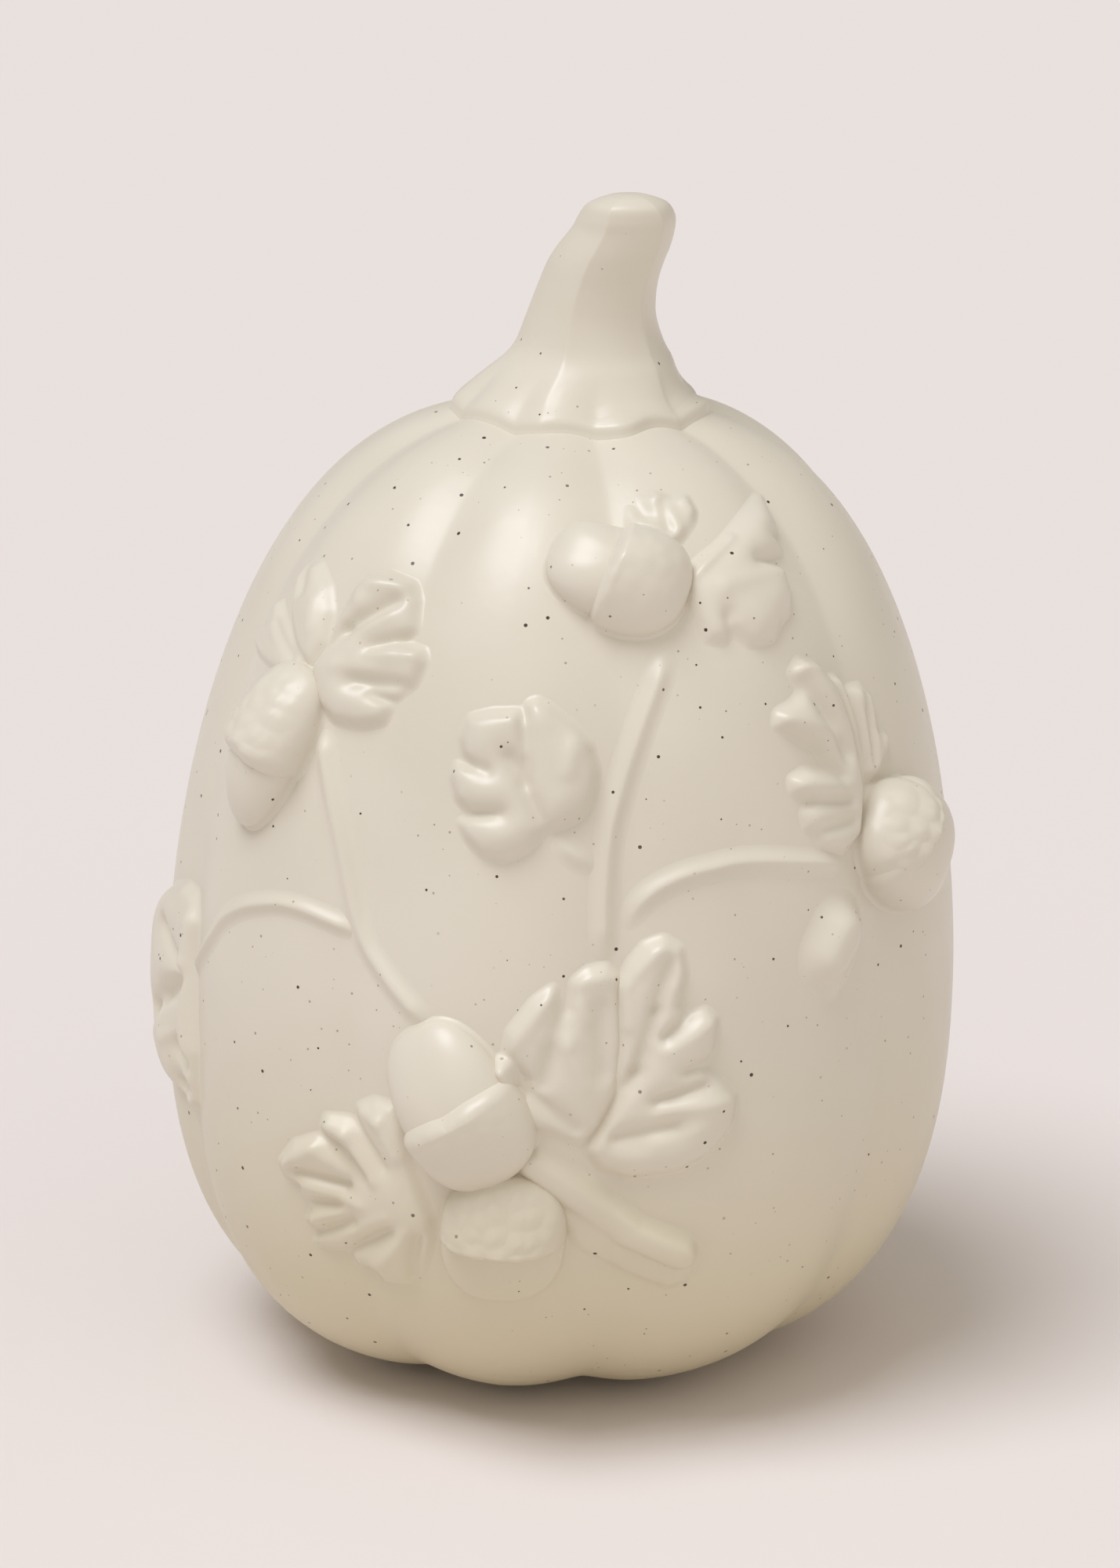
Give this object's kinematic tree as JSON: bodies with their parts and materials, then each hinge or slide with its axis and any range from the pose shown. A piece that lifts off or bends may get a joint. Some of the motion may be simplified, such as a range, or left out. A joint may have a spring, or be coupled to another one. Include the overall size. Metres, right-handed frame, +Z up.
{
  "type": "ceramic pumpkin figure",
  "caption": "Tall hollow glazed ceramic pumpkin figure with a leaning stem and raised leaves, acorns and twigs, standing on a felt ring.",
  "frame": {"origin": "middle of the base of the figure's box, on the surface that it stands on", "axes": "+Z up through the stem, -Y towards the viewer of the pictured front"},
  "size_m": [0.141, 0.154, 0.2065],
  "materials": {
    "glaze": "cream satin glaze with fine brown iron specks",
    "felt": "grey wool felt"
  },
  "bodies": {
    "root": {"acorn_cap_bottom_lower": "glaze", "acorn_cap_bottom_upper": "glaze", "acorn_cap_right": "glaze", "acorn_cap_upper_left": "glaze", "acorn_cap_upper_right": "glaze", "acorn_nut_bottom_lower": "glaze", "acorn_nut_bottom_upper": "glaze", "acorn_nut_right": "glaze", "acorn_nut_upper_left": "glaze", "acorn_nut_upper_right": "glaze", "back_acorn_cap_bottom_lower": "glaze", "back_acorn_cap_bottom_upper": "glaze", "back_acorn_cap_upper_right": "glaze", "back_acorn_nut_bottom_lower": "glaze", "back_acorn_nut_bottom_upper": "glaze", "back_acorn_nut_upper_right": "glaze", "back_branch": "glaze", "back_bud": "glaze", "back_leaf_bottom_left": "glaze", "back_leaf_bottom_right": "glaze", "back_leaf_centre": "glaze", "back_leaf_right": "glaze", "back_leaf_upper_left": "glaze", "back_leaf_upper_right": "glaze", "back_twig_long": "glaze", "back_twig_right_arch": "glaze", "back_twig_upper_left": "glaze", "body_shell": "glaze", "branch": "glaze", "bud": "glaze", "felt_ring": "felt", "leaf_bottom_left": "glaze", "leaf_bottom_middle": "glaze", "leaf_bottom_right": "glaze", "leaf_centre": "glaze", "leaf_left": "glaze", "leaf_right": "glaze", "leaf_right_narrow": "glaze", "leaf_upper_left": "glaze", "leaf_upper_left_second": "glaze", "leaf_upper_right": "glaze", "leaf_upper_right_curled": "glaze", "stem": "glaze", "twig_leaf_stalk": "glaze", "twig_left_arch": "glaze", "twig_long": "glaze", "twig_right_arch": "glaze", "twig_upper_left": "glaze"}
  },
  "joints": []
}
